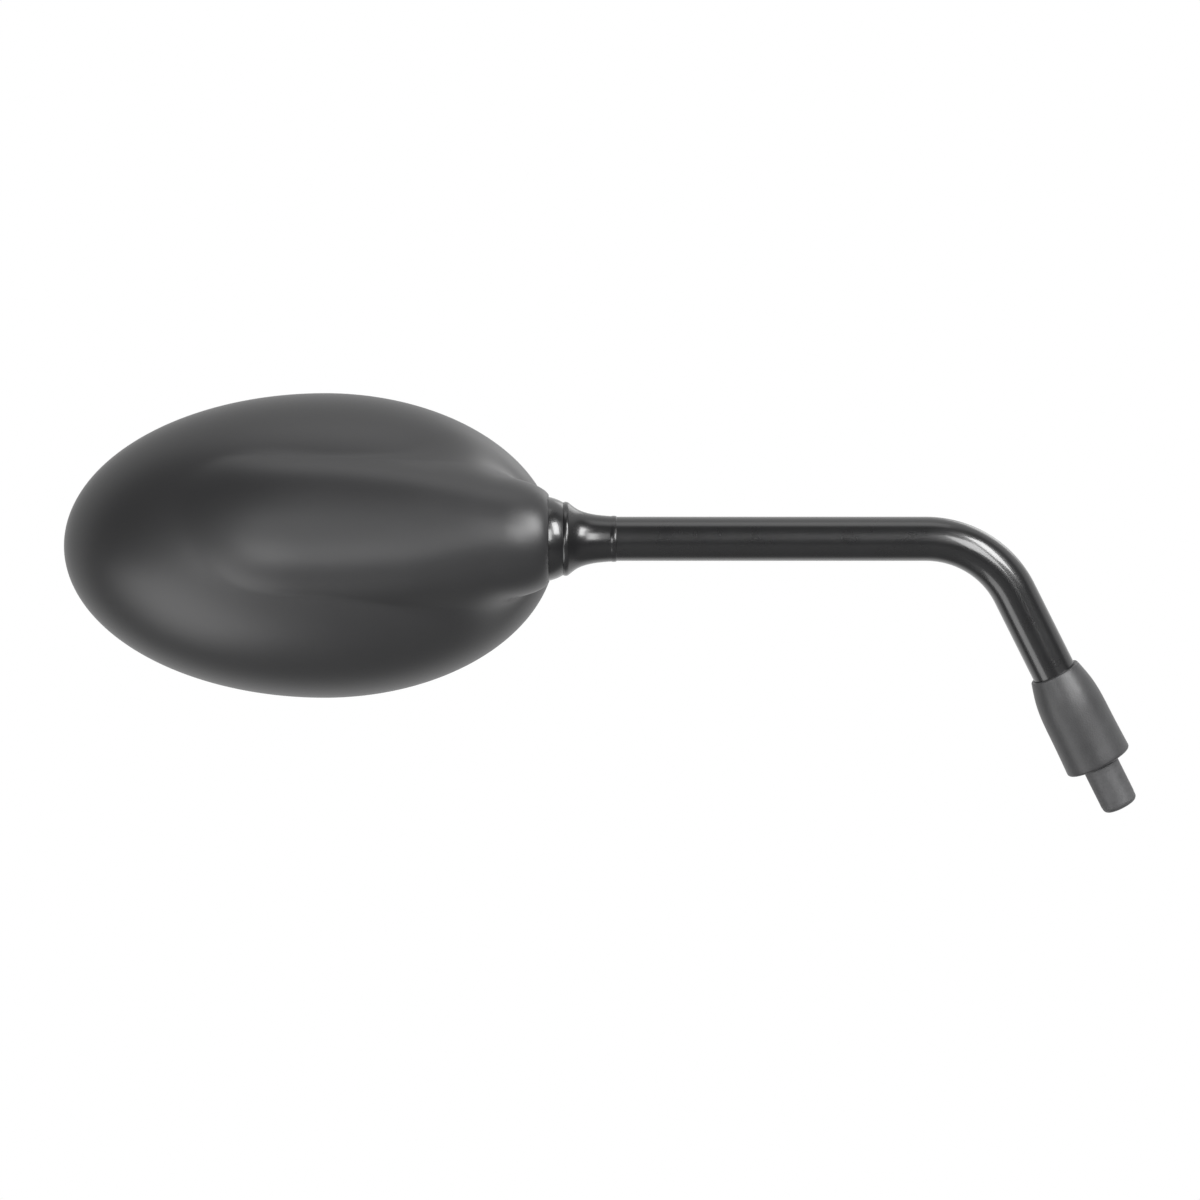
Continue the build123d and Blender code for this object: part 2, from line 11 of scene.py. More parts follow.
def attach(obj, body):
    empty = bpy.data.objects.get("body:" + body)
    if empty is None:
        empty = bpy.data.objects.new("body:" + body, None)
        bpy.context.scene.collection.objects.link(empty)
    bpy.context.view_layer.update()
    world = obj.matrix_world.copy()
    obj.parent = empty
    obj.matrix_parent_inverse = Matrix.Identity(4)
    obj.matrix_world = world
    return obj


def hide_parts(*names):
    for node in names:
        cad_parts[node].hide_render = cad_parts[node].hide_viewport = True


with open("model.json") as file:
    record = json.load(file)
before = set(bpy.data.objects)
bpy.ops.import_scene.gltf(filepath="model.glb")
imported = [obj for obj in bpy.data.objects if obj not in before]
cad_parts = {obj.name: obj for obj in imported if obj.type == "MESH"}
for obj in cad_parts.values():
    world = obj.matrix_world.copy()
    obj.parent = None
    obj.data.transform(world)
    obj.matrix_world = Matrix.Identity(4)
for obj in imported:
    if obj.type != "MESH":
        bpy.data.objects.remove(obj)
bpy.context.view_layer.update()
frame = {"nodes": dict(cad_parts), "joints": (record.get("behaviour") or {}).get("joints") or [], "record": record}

# Camera: a long lens, so that the head and the stem keep their shape. It looks at the mirror's back,
# a little from below. The picture is 1200 pixels square, and its middle lies to the right of the ball
# and below it.
scene = bpy.context.scene
ball = Vector(frame["joints"][0]["pos_m"])
photo_size = 1200
metres_per_pixel = 0.0002707
pixels_right = 59.3
pixels_below = 61.4
view_centre = ball + Vector((pixels_right, 0, -pixels_below)) * metres_per_pixel
view_tilt = math.radians(4.5)
camera_distance = 2.7
sensor = 36.0
lens = camera_distance * sensor / (photo_size * metres_per_pixel)
view_direction = Vector((0, math.cos(view_tilt), math.sin(view_tilt)))
camera_data = bpy.data.cameras.new("photo_camera")
camera_data.lens = lens
camera_data.sensor_width = sensor
camera = bpy.data.objects.new("photo_camera", camera_data)
camera.location = view_centre - view_direction * camera_distance
camera.rotation_mode = "QUATERNION"
camera.rotation_quaternion = view_direction.to_track_quat("-Z", "Y")
scene.collection.objects.link(camera)
scene.camera = camera
scene.view_settings.view_transform = "Standard"


# Studio: a pale floor far below the mirror and a world that the camera sees as plain white.
# Mirror and glass rays see white behind the mirror and overhead, and a dim room on the camera's side.
# The floor takes the shadow, and it is clear from below, so that a low view isn't blocked.
class Socket:
    """A node's output, with the arithmetic that the finishes below are written in."""

    def __init__(self, tree, output):
        self.tree = tree
        self.output = output

    @classmethod
    def node(cls, tree, kind, settings, *values, out=0, **named):
        """Output of a new node: its settings are set first, then its inputs by place or by name."""
        made = tree.nodes.new(kind)
        for key, value in settings.items():
            setattr(made, key, value)
        inputs = [(made.inputs[i], value) for i, value in enumerate(values)]
        inputs += [(made.inputs[key.replace("_", " ")], value) for key, value in named.items()]
        for socket, value in inputs:
            if isinstance(value, Socket):
                tree.links.new(value.output, socket)
            elif value is not None:
                socket.default_value = value
        return cls(tree, made.outputs[out]) if made.outputs else None

    def maths(self, operation, *values):
        return Socket.node(self.tree, "ShaderNodeMath", {"operation": operation}, *values)

    def __add__(self, other):
        return self.maths("ADD", self, other)

    def __radd__(self, other):
        return self.maths("ADD", other, self)

    def __sub__(self, other):
        return self.maths("SUBTRACT", self, other)

    def __rsub__(self, other):
        return self.maths("SUBTRACT", other, self)

    def __mul__(self, other):
        return self.maths("MULTIPLY", self, other)

    def __rmul__(self, other):
        return self.maths("MULTIPLY", other, self)

    def clamp(self):
        return Socket.node(self.tree, "ShaderNodeClamp", {}, self)


def rays(tree):
    """Three masks: camera rays, mirror rays and glass rays."""
    kinds = ("Camera", "Glossy", "Transmission")
    return [Socket.node(tree, "ShaderNodeLightPath", {}, out=f"Is {kind} Ray") for kind in kinds]


world = bpy.data.worlds.new("studio")
world.use_nodes = True
scene.world = world
sky = world.node_tree
sky.nodes.clear()
room_light = 0.1
backdrop_light = 0.35
back_start = -0.15
back_rate = 4.0
top_start = 0.86
top_rate = 9.0
way = Socket.node(sky, "ShaderNodeTexCoord", {}, out="Generated")
to_back, to_top = [Socket.node(sky, "ShaderNodeSeparateXYZ", {}, way, out=axis) for axis in "YZ"]
open_back = ((to_back - back_start) * back_rate).clamp()
open_top = ((to_top - top_start) * top_rate).clamp()
open_side = (open_back + open_top).clamp()
eye, gloss, glass = rays(sky)
seen = (eye + (gloss + glass) * open_side).clamp()
lit = room_light + open_side * (backdrop_light - room_light)
background = Socket.node(sky, "ShaderNodeBackground", {}, (1, 1, 1, 1), lit + seen * (1 - lit))
Socket.node(sky, "ShaderNodeOutputWorld", {}, background)

floor_depth = 0.9
floor_reach = 12.0
floor_grey = 0.35
floor_roughness = 0.9
near_white = 0.9
whitening = 0.25
glow_start = 0.36
glow_rate = 2.2
floor_mesh = bpy.data.meshes.new("floor")
corners = [(-1, -1), (1, -1), (1, 1), (-1, 1)]
floor_points = [(floor_reach * x, floor_reach * y, -floor_depth) for x, y in corners]
floor_mesh.from_pydata(floor_points, [], [(0, 1, 2, 3)])
floor = bpy.data.objects.new("floor", floor_mesh)
scene.collection.objects.link(floor)
floor_paint = bpy.data.materials.new("floor_paint")
floor_paint.use_nodes = True
paint = floor_paint.node_tree
floor_shader = paint.nodes["Principled BSDF"]
floor_shader.inputs["Base Color"].default_value = (floor_grey, floor_grey, floor_grey, 1)
floor_shader.inputs["Roughness"].default_value = floor_roughness
floor_shader.inputs["Specular IOR Level"].default_value = 0.0
floor_shader.inputs["Emission Strength"].default_value = 1.0
eye, gloss, glass = rays(paint)
spot = Socket.node(paint, "ShaderNodeTexCoord", {}, out="Object")
spot_x, spot_y = [Socket.node(paint, "ShaderNodeSeparateXYZ", {}, spot, out=axis) for axis in "XY"]
far_back = ((spot_y - glow_start) * glow_rate).clamp()
far_out = ((spot_x * spot_x + spot_y * spot_y) * whitening).clamp()
whiteness = near_white + (1 - near_white) * far_out
glow = (eye + (gloss + glass) * far_back).clamp() * whiteness
floor_glow = Socket.node(paint, "ShaderNodeCombineColor", {}, glow, glow, glow)
paint.links.new(floor_glow.output, floor_shader.inputs["Emission Color"])
underside = Socket.node(paint, "ShaderNodeNewGeometry", {}, out="Backfacing")
clear = Socket.node(paint, "ShaderNodeBsdfTransparent", {})
painted = Socket(paint, floor_shader.outputs["BSDF"])
one_sided = Socket.node(paint, "ShaderNodeMixShader", {}, underside, painted, clear)
paint.links.new(one_sided.output, paint.nodes["Material Output"].inputs["Surface"])
floor_mesh.materials.append(floor_paint)


def softbox(name, azimuth, elevation, distance, width, height, radiance):
    """A rectangular lamp that faces the ball, with its direction in degrees from the camera's side."""
    across, up = math.radians(azimuth), math.radians(elevation)
    way = Vector((math.sin(across) * math.cos(up), -math.cos(across) * math.cos(up), math.sin(up)))
    lamp_data = bpy.data.lights.new(name, "AREA")
    lamp_data.shape = "RECTANGLE"
    lamp_data.size = width
    lamp_data.size_y = height
    lamp_data.energy = radiance * math.pi * width * height
    lamp = bpy.data.objects.new(name, lamp_data)
    lamp.location = ball + way * distance
    lamp.rotation_mode = "QUATERNION"
    lamp.rotation_quaternion = (-way).to_track_quat("-Z", "Y")
    lamp.visible_camera = False
    scene.collection.objects.link(lamp)


softbox("key_box", azimuth=44, elevation=23, distance=1.3, width=0.35, height=0.7, radiance=22.0)
softbox("right_strip", azimuth=22, elevation=6, distance=1.6, width=0.42, height=0.8, radiance=14.0)
softbox("front_card", azimuth=-21, elevation=-10, distance=1.6, width=0.5, height=0.55, radiance=8.5)
softbox("left_card", azimuth=-58, elevation=-40, distance=0.9, width=0.5, height=0.8, radiance=3.4)
softbox("top_box", azimuth=0, elevation=78, distance=1.2, width=0.9, height=0.5, radiance=1.0)
softbox("back_box", azimuth=147, elevation=35, distance=1.3, width=0.5, height=0.5, radiance=1.6)

# Head housing: one moulding of dark grey grained plastic, an egg shaped dome with a soft raised spine
# that runs out of the round neck. Its rim holds the glass, and its neck is cut to seat the ball.
egg_inner = 0.0630
egg_outer = 0.0713
egg_height = 0.0417
dome_depth = 0.0345
rim_overhang = 0.004
rim_forward = 0.022
rim_wall = 0.0016
rim_recess = 0.005
neck_radius = 0.0152
neck_end = 0.0024
nose_drop = 0.0041
nose_length = 0.0125
head_wall = 0.0022
seat_radius = 0.0117
spine_fade = 0.047
spine_share = [0.0, 0.19, 0.35, 0.57, 0.78, 1.0]
spine_growth = [0.0, 0.0033, 0.0091, 0.0158, 0.0158, 0.0108]
spine_rise = [0.0, 0.00134, 0.0010, -0.0002, -0.0029, -0.0122]
shoulder = 0.0058
shoulder_width = 0.0200
shoulder_share = [0.12, 0.36, 0.62, 1.0]
spine_lean = 0.026
spine_end_slope = 0.05
crease_softness = 0.0006
neck_softness = 0.0125
neck_blend_middle = -0.018
neck_blend_reach = 0.012
rim_softness = 0.0009
pocket_softness = 0.0024
skin_step = 0.0007
skin_margin = 0.003
head_back = -0.021
tiny = 1e-9
widest = rim_overhang - egg_inner
hollow_start = neck_end - spine_share[1] * (neck_end + spine_fade - widest)
channel_start = 0.002
channel_end = 0.030
channel_radius = 0.0133
carrier_circle = 0.032
carrier_screws = 3
carrier_post_radius = 0.0035
carrier_post_top = 0.0158
carrier_middle = widest + (egg_inner - egg_outer) / 2
carrier_turns = [math.pi + 2 * math.pi * i / carrier_screws for i in range(carrier_screws)]
carrier_ways = [(math.cos(turn), math.sin(turn)) for turn in carrier_turns]
carrier_posts = [(carrier_middle + carrier_circle * x, carrier_circle * z) for x, z in carrier_ways]
bracket_middle = -0.03984
bracket_reach = 0.005
bracket_half_width = 0.0065
bracket_post_radius = 0.0043
bracket_post_top = -0.0085
bracket_corners = itertools.product((-1, 1), repeat=2)
bracket_posts = [(bracket_middle + bracket_reach * x, bracket_half_width * z) for x, z in bracket_corners]


def smooth_curve(places, values):
    """Natural cubic spline through a few values, as a function of place."""
    places = np.array(places)
    values = np.array(values)
    gaps = np.diff(places)
    slopes = np.diff(values) / gaps
    count = len(places)
    system = np.eye(count)
    target = np.zeros(count)
    for i in range(1, count - 1):
        system[i, i - 1:i + 2] = gaps[i - 1], 2 * (gaps[i - 1] + gaps[i]), gaps[i]
        target[i] = 6 * (slopes[i] - slopes[i - 1])
    bends = np.linalg.solve(system, target)

    def value_at(x):
        i = np.clip(np.searchsorted(places, x) - 1, 0, count - 2)
        width = gaps[i]
        left = (places[i + 1] - x) / width
        right = (x - places[i]) / width
        line = left * values[i] + right * values[i + 1]
        return line + ((left**3 - left) * bends[i] + (right**3 - right) * bends[i + 1]) * width**2 / 6

    return value_at


spine_radius_at = smooth_curve(spine_share, spine_growth)
spine_rise_at = smooth_curve(spine_share, spine_rise)


def soft_min(a, b, softness):
    """Smaller of two distances, with a rounded valley between them."""
    near = np.maximum(softness - np.abs(a - b), 0) / softness
    return np.minimum(a, b) - near**3 * softness / 6


def soft_max(a, b, softness):
    """Larger of two distances, with a rounded ridge between them."""
    return -soft_min(-a, -b, softness)


def ellipsoid(x, y, z, inset):
    """Distance to the dome's egg, drawn in by inset, about the rim's middle."""
    length = np.where(x > 0, egg_inner, egg_outer) - inset
    height = egg_height - inset
    depth = dome_depth - inset
    size = np.sqrt((x / length)**2 + (y / depth)**2 + (z / height)**2) + tiny
    slope = np.sqrt((x / length**2)**2 + (y / depth**2)**2 + (z / height**2)**2) + tiny
    return size * (size - 1) / slope


def egg_wall(x, z, inset):
    """Distance to the rim's outline, drawn in by inset."""
    length = np.where(x > 0, egg_inner, egg_outer) - inset
    height = egg_height - inset
    size = np.sqrt((x / length)**2 + (z / height)**2) + tiny
    slope = np.sqrt((x / length**2)**2 + (z / height**2)**2) + tiny
    return size * (size - 1) / slope


def spine(x, y, z, inset):
    """Distance to the raised spine, drawn in by inset, with a rounded nose at the neck's end."""
    share = (x - neck_end) / (widest - spine_fade - neck_end)
    growth = spine_radius_at(np.clip(share, 0, 1))
    centre = growth - spine_rise_at(np.clip(share, 0, 1))
    z = z - spine_lean * np.maximum(neck_end - x, 0)
    side = np.minimum(np.abs(z) / shoulder_width, 1)
    fullness = np.interp(share, shoulder_share, [0, 1, 1, 0])
    tube = np.hypot(y - centre, z) - neck_radius - growth + inset
    tube = tube - shoulder * (side**2 - side**3) * fullness**2 * (3 - 2 * fullness)
    nose = (x - neck_end) * nose_drop / nose_length
    rounded = np.hypot(np.maximum(tube + nose_drop, 0), np.maximum(nose + nose_drop, 0)) - nose_drop
    tube = np.where((tube > -nose_drop) & (nose > -nose_drop), rounded, np.maximum(tube, nose))
    return np.maximum(tube, (share - 1) * spine_end_slope)


def boss(x, y, z, places, radius, top):
    """Distance to the round posts that the screws go into, each as high as its top."""
    posts = [np.hypot(x - place[0], z - place[1]) - radius for place in places]
    return np.maximum(np.minimum.reduce(posts), y - top)


def housing_field(x, y, z):
    """Distance to the housing's skin, in metres from the ball's centre: negative in the plastic."""
    dome = ellipsoid(x - widest, y - rim_forward, z, 0)
    blend = np.exp(-((x - neck_blend_middle) / neck_blend_reach)**2)
    form = soft_min(dome, spine(x, y, z, 0), crease_softness + neck_softness * blend)
    form = soft_max(form, y - rim_forward, rim_softness)
    hollow = np.minimum(ellipsoid(x - widest, y - rim_forward, z, head_wall), spine(x, y, z, head_wall))
    hollow = np.maximum(hollow, x - hollow_start)
    shell = np.maximum(form, -hollow)
    tall_posts = boss(x, y, z, carrier_posts, carrier_post_radius, carrier_post_top)
    short_posts = boss(x, y, z, bracket_posts, bracket_post_radius, bracket_post_top)
    shell = np.minimum(shell, np.maximum(tall_posts, form))
    shell = np.minimum(shell, np.maximum(short_posts, form))
    pocket = soft_max(egg_wall(x - widest, z, rim_wall), rim_forward - rim_recess - y, pocket_softness)
    shell = soft_max(shell, -pocket, rim_softness / 2)
    round_neck = np.hypot(y, z)
    seat = np.where(x > 0, np.sqrt(x**2 + y**2 + z**2), round_neck) - seat_radius
    seat = np.maximum(seat, -channel_start - x)
    channel = np.maximum(round_neck - channel_radius, np.maximum(x + channel_start, -channel_end - x))
    return np.maximum(shell, -np.minimum(seat, channel))


def skin(name, field, low, high, step, rounds, pull=0.6):
    """Quad mesh on the zero of a field: one point in each cell that the skin crosses.

    In each round a point is pulled towards the mean of its neighbours and settled on the skin again.
    """
    axes = [np.arange(a, b + step, step) for a, b in zip(low, high)]
    inside = field(*np.meshgrid(*axes, indexing="ij")) < 0
    cells = tuple(n - 1 for n in inside.shape)
    corner_sum = np.zeros(cells, dtype=int)
    for shift in itertools.product((0, 1), repeat=3):
        corner_sum += inside[tuple(slice(s, s + n) for s, n in zip(shift, cells))]
    mixed = (corner_sum > 0) & (corner_sum < 8)
    index = np.full(cells, -1)
    index[mixed] = np.arange(mixed.sum())
    places = np.array([axis[i] + step / 2 for axis, i in zip(axes, np.nonzero(mixed))])
    quads = []
    for axis in range(3):
        other, third = (axis + 1) % 3, (axis + 2) % 3
        near = np.moveaxis(inside, axis, 0)
        crossed = np.moveaxis(near[1:] != near[:-1], 0, axis)
        edges = np.array(np.nonzero(crossed))
        inner = (edges[other] > 0) & (edges[third] > 0)
        inner &= (edges[other] < cells[other]) & (edges[third] < cells[third])
        edges = edges[:, inner]
        ring = []
        for a, b in ((1, 1), (0, 1), (0, 0), (1, 0)):
            cell = edges.copy()
            cell[other] -= a
            cell[third] -= b
            ring.append(index[tuple(cell)])
        ring = np.array(ring).T
        outward = inside[tuple(edges)]
        quads.append(np.where(outward[:, None], ring, ring[:, ::-1]))
    quads = np.concatenate(quads)
    links = np.concatenate([quads[:, [i, (i + 1) % 4]] for i in range(4)])
    links = np.concatenate([links, links[:, ::-1]])
    degree = np.bincount(links[:, 0], minlength=places.shape[1])

    def settle(points, tries=4, nudge=step / 50, least_slope=1e-6):
        """Moves points down the field's slope onto the skin."""
        for _ in range(tries):
            value = field(*points)
            slope = []
            for axis in range(3):
                moved = points.copy()
                moved[axis] += nudge
                slope.append((field(*moved) - value) / nudge)
            slope = np.array(slope)
            shift = value * slope / np.maximum((slope**2).sum(0), least_slope)
            points = points - np.clip(shift, -step, step)
        return points

    places = settle(places)
    for _ in range(rounds):
        totals = np.array([np.bincount(links[:, 0], row[links[:, 1]], places.shape[1]) for row in places])
        places = settle(places * (1 - pull) + totals / degree * pull)
    mesh = bpy.data.meshes.new(name)
    mesh.from_pydata(places.T.tolist(), [], quads.tolist())
    mesh.polygons.foreach_set("use_smooth", [True] * len(mesh.polygons))
    return mesh


def place(mesh, name, body, slot, *nodes):
    """Links a finished mesh as a piece of the object that rides on a body and stands for nodes."""
    piece = bpy.data.objects.new(name, mesh)
    scene.collection.objects.link(piece)
    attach(piece, body)
    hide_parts(*nodes)


def finish_of(name, colour, roughness, metallic=0.0, coat=0.0):
    """A new material with a Principled surface, its node tree and its object coordinates."""
    material = bpy.data.materials.new(name)
    material.use_nodes = True
    tree = material.node_tree
    shader = tree.nodes["Principled BSDF"]
    shader.inputs["Base Color"].default_value = (*colour, 1)
    shader.inputs["Roughness"].default_value = roughness
    shader.inputs["Metallic"].default_value = metallic
    shader.inputs["Coat Weight"].default_value = coat
    where = Socket.node(tree, "ShaderNodeTexCoord", {}, out="Object")
    return material, tree, shader, where


def feed(tree, shader, socket, value):
    """Links a value or colour that changes over the surface to one of the shader's sockets."""
    tree.links.new(value.output, shader.inputs[socket])


def noise(tree, where, size, detail=2.0, rough=0.5):
    """Grey noise with features of about one size in metres."""
    inputs = {"Vector": where, "Scale": 1 / size, "Detail": detail, "Roughness": rough}
    return Socket.node(tree, "ShaderNodeTexNoise", {}, **inputs)


def vary(tree, shader, colour, grain, amount):
    """Base colour that a grain makes a little darker and lighter."""
    dark, light = [(*(c * share for c in colour), 1) for share in (1 - amount, 1 + amount)]
    # A Mix node takes its colours after five inputs for numbers and vectors, and gives them third.
    numbers_only = [None] * 5
    mix = Socket.node(tree, "ShaderNodeMix", {"data_type": "RGBA"}, grain, *numbers_only, dark, light, out=2)
    feed(tree, shader, "Base Color", mix)


def bump(tree, shader, height, strength, depth):
    """Bump from a height field, depth in metres."""
    made = Socket.node(tree, "ShaderNodeBump", {}, Strength=strength, Distance=depth, Height=height)
    feed(tree, shader, "Normal", made)


grain_colour = (0.016, 0.016, 0.0168)
grained_plastic, tree, shader, where = finish_of("grained_plastic", grain_colour, 0.5)
shader.inputs["Specular IOR Level"].default_value = 0.6
cloud = noise(tree, where, size=0.02)
grain = noise(tree, where, size=0.0005, detail=3.0, rough=0.6)
vary(tree, shader, grain_colour, cloud * 0.4 + grain * 0.6, amount=0.18)
feed(tree, shader, "Roughness", 0.38 + grain * 0.08)
bump(tree, shader, grain, strength=0.25, depth=0.00006)
head_low = (widest - egg_outer - skin_margin, head_back, -egg_height - skin_margin)
head_high = (rim_overhang + skin_margin, rim_forward + skin_margin, egg_height + skin_margin)
housing_mesh = skin("housing_shell", housing_field, head_low, head_high, skin_step, rounds=3)
housing_mesh.transform(Matrix.Translation(ball))
housing_mesh.materials.append(grained_plastic)
place(housing_mesh, "housing_shell", "head", "housing_plastic", "housing")

# Stem: a bent steel tube in thick gloss black enamel, one straight run, one even bend and the leg.
# It is swept along its centre line with a round section by a small node tree.
gloss_colour = (0.008, 0.008, 0.0085)
gloss_black, tree, shader, where = finish_of("gloss_black", gloss_colour, 0.25, coat=0.35)
shader.inputs["Coat Roughness"].default_value = 0.05
ripple = noise(tree, where, size=0.006)
vary(tree, shader, gloss_colour, ripple, amount=0.15)
feed(tree, shader, "Roughness", 0.25 + ripple * 0.06)
bump(tree, shader, ripple, strength=0.05, depth=0.00004)
leg_down = Vector(frame["record"]["mounts"][0]["axis"])
tube_radius = 0.006
bend_radius = 0.027
run_length = 0.121
ball_flat = 0.009
tube_foot = 0.015
tube_sides = 96
bend_steps = 48
corner = ball + Vector((run_length, 0, 0))
tube_line = [ball + Vector((ball_flat, 0, 0)), corner, -leg_down * tube_foot]


def node_tree(name, sizes):
    """A geometry node tree with named sizes, and a function that adds a node to it."""
    tree = bpy.data.node_groups.new(name, "GeometryNodeTree")
    tree.interface.new_socket("Geometry", in_out="INPUT", socket_type="NodeSocketGeometry")
    tree.interface.new_socket("Geometry", in_out="OUTPUT", socket_type="NodeSocketGeometry")
    for size in sizes:
        tree.interface.new_socket(size, in_out="INPUT", socket_type="NodeSocketFloat")
    start = tree.nodes.new("NodeGroupInput")
    end = tree.nodes.new("NodeGroupOutput")

    def add(kind, settings=None, **inputs):
        """A node with its settings and its inputs, which are sockets or values."""
        made = tree.nodes.new(kind)
        for key, value in (settings or {}).items():
            setattr(made, key, value)
        for key, value in inputs.items():
            socket = made.inputs[key.replace("_", " ")]
            if hasattr(value, "is_output"):
                tree.links.new(value, socket)
            else:
                socket.default_value = value
        return made

    return tree, start.outputs, end.inputs[0], add


def grow(name, tree, sizes, material, start_mesh=None):
    """Runs a node tree on an object and returns the result as a plain mesh with smooth faces."""
    source = bpy.data.objects.new(name + "_source", start_mesh or bpy.data.meshes.new(name + "_source"))
    scene.collection.objects.link(source)
    modifier = source.modifiers.new(name, "NODES")
    modifier.node_group = tree
    for item in tree.interface.items_tree:
        if item.name in sizes:
            modifier[item.identifier] = sizes[item.name]
    depsgraph = bpy.context.evaluated_depsgraph_get()
    mesh = bpy.data.meshes.new_from_object(source.evaluated_get(depsgraph))
    source.modifiers.remove(modifier)
    bpy.data.objects.remove(source)
    mesh.materials.clear()
    mesh.materials.append(material)
    mesh.polygons.foreach_set("use_smooth", [True] * len(mesh.polygons))
    return mesh


line_mesh = bpy.data.meshes.new("stem_line")
line_mesh.from_pydata([tuple(p) for p in tube_line], [(0, 1), (1, 2)], [])
tree, start, end, add = node_tree("swept_stem", ["Tube radius", "Bend radius"])
centre_line = add("GeometryNodeMeshToCurve", Mesh=start["Geometry"])
rounded = add("GeometryNodeFilletCurve", {"mode": "POLY"}, Curve=centre_line.outputs[0], Count=bend_steps)
tree.links.new(start["Bend radius"], rounded.inputs["Radius"])
section = add("GeometryNodeCurvePrimitiveCircle", Resolution=tube_sides, Radius=start["Tube radius"])
swept = add("GeometryNodeCurveToMesh", Curve=rounded.outputs[0], Profile_Curve=section.outputs[0])
swept.inputs["Fill Caps"].default_value = True
whole = add("GeometryNodeRealizeInstances", Geometry=swept.outputs[0])
painted = add("GeometryNodeSetMaterial", Geometry=whole.outputs[0], Material=gloss_black)
tree.links.new(painted.outputs[0], end)
stem_sizes = {"Tube radius": tube_radius, "Bend radius": bend_radius}
stem_mesh = grow("stem", tree, stem_sizes, gloss_black, line_mesh)
place(stem_mesh, "stem", "stem", "gloss_black", "stem_tube")


# Ball: a turned steel ball in the same black enamel, half hidden in the neck of the head.
# Its flat meets the end of the tube, and a shank goes into the bore.
def lathe(name, outline, origin, axis, material, segments=128, on_axis=1e-7):
    """Turned mesh: points of distance along an axis and radius, spun round it and closed."""
    frame_turn = Vector(axis).to_track_quat("Z", "Y").to_matrix().to_4x4()
    angles = [2 * math.pi * i / segments for i in range(segments)]
    ways = [(math.cos(angle), math.sin(angle)) for angle in angles]
    mesh_builder = bmesh.new()
    rings = []
    for along, radius in outline:
        points = [(radius * x, radius * y, along) for x, y in ways] if radius > on_axis else [(0, 0, along)]
        rings.append([mesh_builder.verts.new(point) for point in points])
    for first, second in zip(rings, rings[1:]):
        for i in range(segments):
            j = (i + 1) % segments
            if len(first) == 1 and len(second) > 1:
                mesh_builder.faces.new((first[0], second[j], second[i]))
            elif len(second) == 1 and len(first) > 1:
                mesh_builder.faces.new((first[i], first[j], second[0]))
            elif len(first) > 1:
                mesh_builder.faces.new((first[i], first[j], second[j], second[i]))
    bmesh.ops.recalc_face_normals(mesh_builder, faces=mesh_builder.faces)
    mesh = bpy.data.meshes.new(name)
    mesh_builder.to_mesh(mesh)
    mesh_builder.free()
    mesh.transform(Matrix.Translation(origin) @ frame_turn)
    mesh.materials.append(material)
    mesh.polygons.foreach_set("use_smooth", [True] * len(mesh.polygons))
    return mesh


def arc(centre, radius, start, stop, count):
    """Points on an arc of an outline, angles in degrees from the axis."""
    turns = [math.radians(start + (stop - start) * i / count) for i in range(count + 1)]
    return [(centre[0] + radius * math.cos(t), centre[1] + radius * math.sin(t)) for t in turns]


ball_radius = 0.01158
shank_radius = 0.00425
shank_length = 0.014
shank_end = ball_flat + shank_length
flat_angle = math.degrees(math.acos(ball_flat / ball_radius))
stem_axis = (1, 0, 0)
ball_outline = arc((0, 0), ball_radius, 180, flat_angle, count=64)
ball_outline += [(ball_flat, shank_radius), (shank_end, shank_radius), (shank_end, 0)]
ball_mesh = lathe("ball", ball_outline, ball, stem_axis, gloss_black)
place(ball_mesh, "ball", "stem", "gloss_black", "ball_stud")

# Ferrule: a flared black plastic sleeve over the joint of ball and tube, with a beaded rim
# towards the ball, a hollow taper and a fine lip on the tube.
ferrule_colour = (0.009, 0.009, 0.0095)
ferrule_black, tree, shader, where = finish_of("ferrule_black", ferrule_colour, 0.25, coat=0.15)
shader.inputs["Coat Roughness"].default_value = 0.14
flow = noise(tree, where, size=0.004)
vary(tree, shader, ferrule_colour, flow, amount=0.15)
feed(tree, shader, "Roughness", 0.22 + flow * 0.08)
bump(tree, shader, flow, strength=0.15, depth=0.00004)
close_fit = 0.00005
cap_radius = ball_radius + close_fit
rim_radius = 0.0099
bead = 0.0013
bead_rise = 0.00015
bead_steps = 12
ferrule_length = 0.0115
ferrule_end = ball_flat + ferrule_length
lip_length = 0.0015
lip_rise = 0.0001
lip_start = ferrule_end - lip_length
bore = tube_radius + close_fit
end_wall = 0.00012
end_radius = bore + end_wall
rim_start = math.sqrt(cap_radius**2 - rim_radius**2)
rim_end = rim_start + bead
taper_way = [0.0, 0.2, 0.41, 1.0]
taper_drop = [0.0, 0.466, 0.737, 1.0]
taper_steps = 40
drop_at = smooth_curve(taper_way, taper_drop)
ferrule_outline = [(rim_start, rim_radius)]
for i in range(1, bead_steps):
    share = i / bead_steps
    swell = bead_rise * math.sin(math.pi * share)
    ferrule_outline.append((rim_start + bead * share, rim_radius + swell))
for i in range(taper_steps + 1):
    share = i / taper_steps
    radius = rim_radius - float(drop_at(share)) * (rim_radius - end_radius)
    ferrule_outline.append((rim_end + share * (lip_start - rim_end), radius))
for i in range(1, bead_steps + 1):
    share = i / bead_steps
    swell = lip_rise * math.sin(math.pi * share)
    ferrule_outline.append((lip_start + lip_length * share, end_radius + swell))
inner_face = ball_flat + close_fit
inner_angle = math.degrees(math.acos(inner_face / cap_radius))
rim_angle = math.degrees(math.acos(rim_start / cap_radius))
ferrule_outline += [(ferrule_end, bore), (inner_face, bore)]
ferrule_outline += arc((0, 0), cap_radius, inner_angle, rim_angle, count=8)
ferrule_mesh = lathe("ferrule", ferrule_outline, ball, stem_axis, ferrule_black)
place(ferrule_mesh, "ferrule", "stem", "ferrule_plastic", "neck_ferrule")

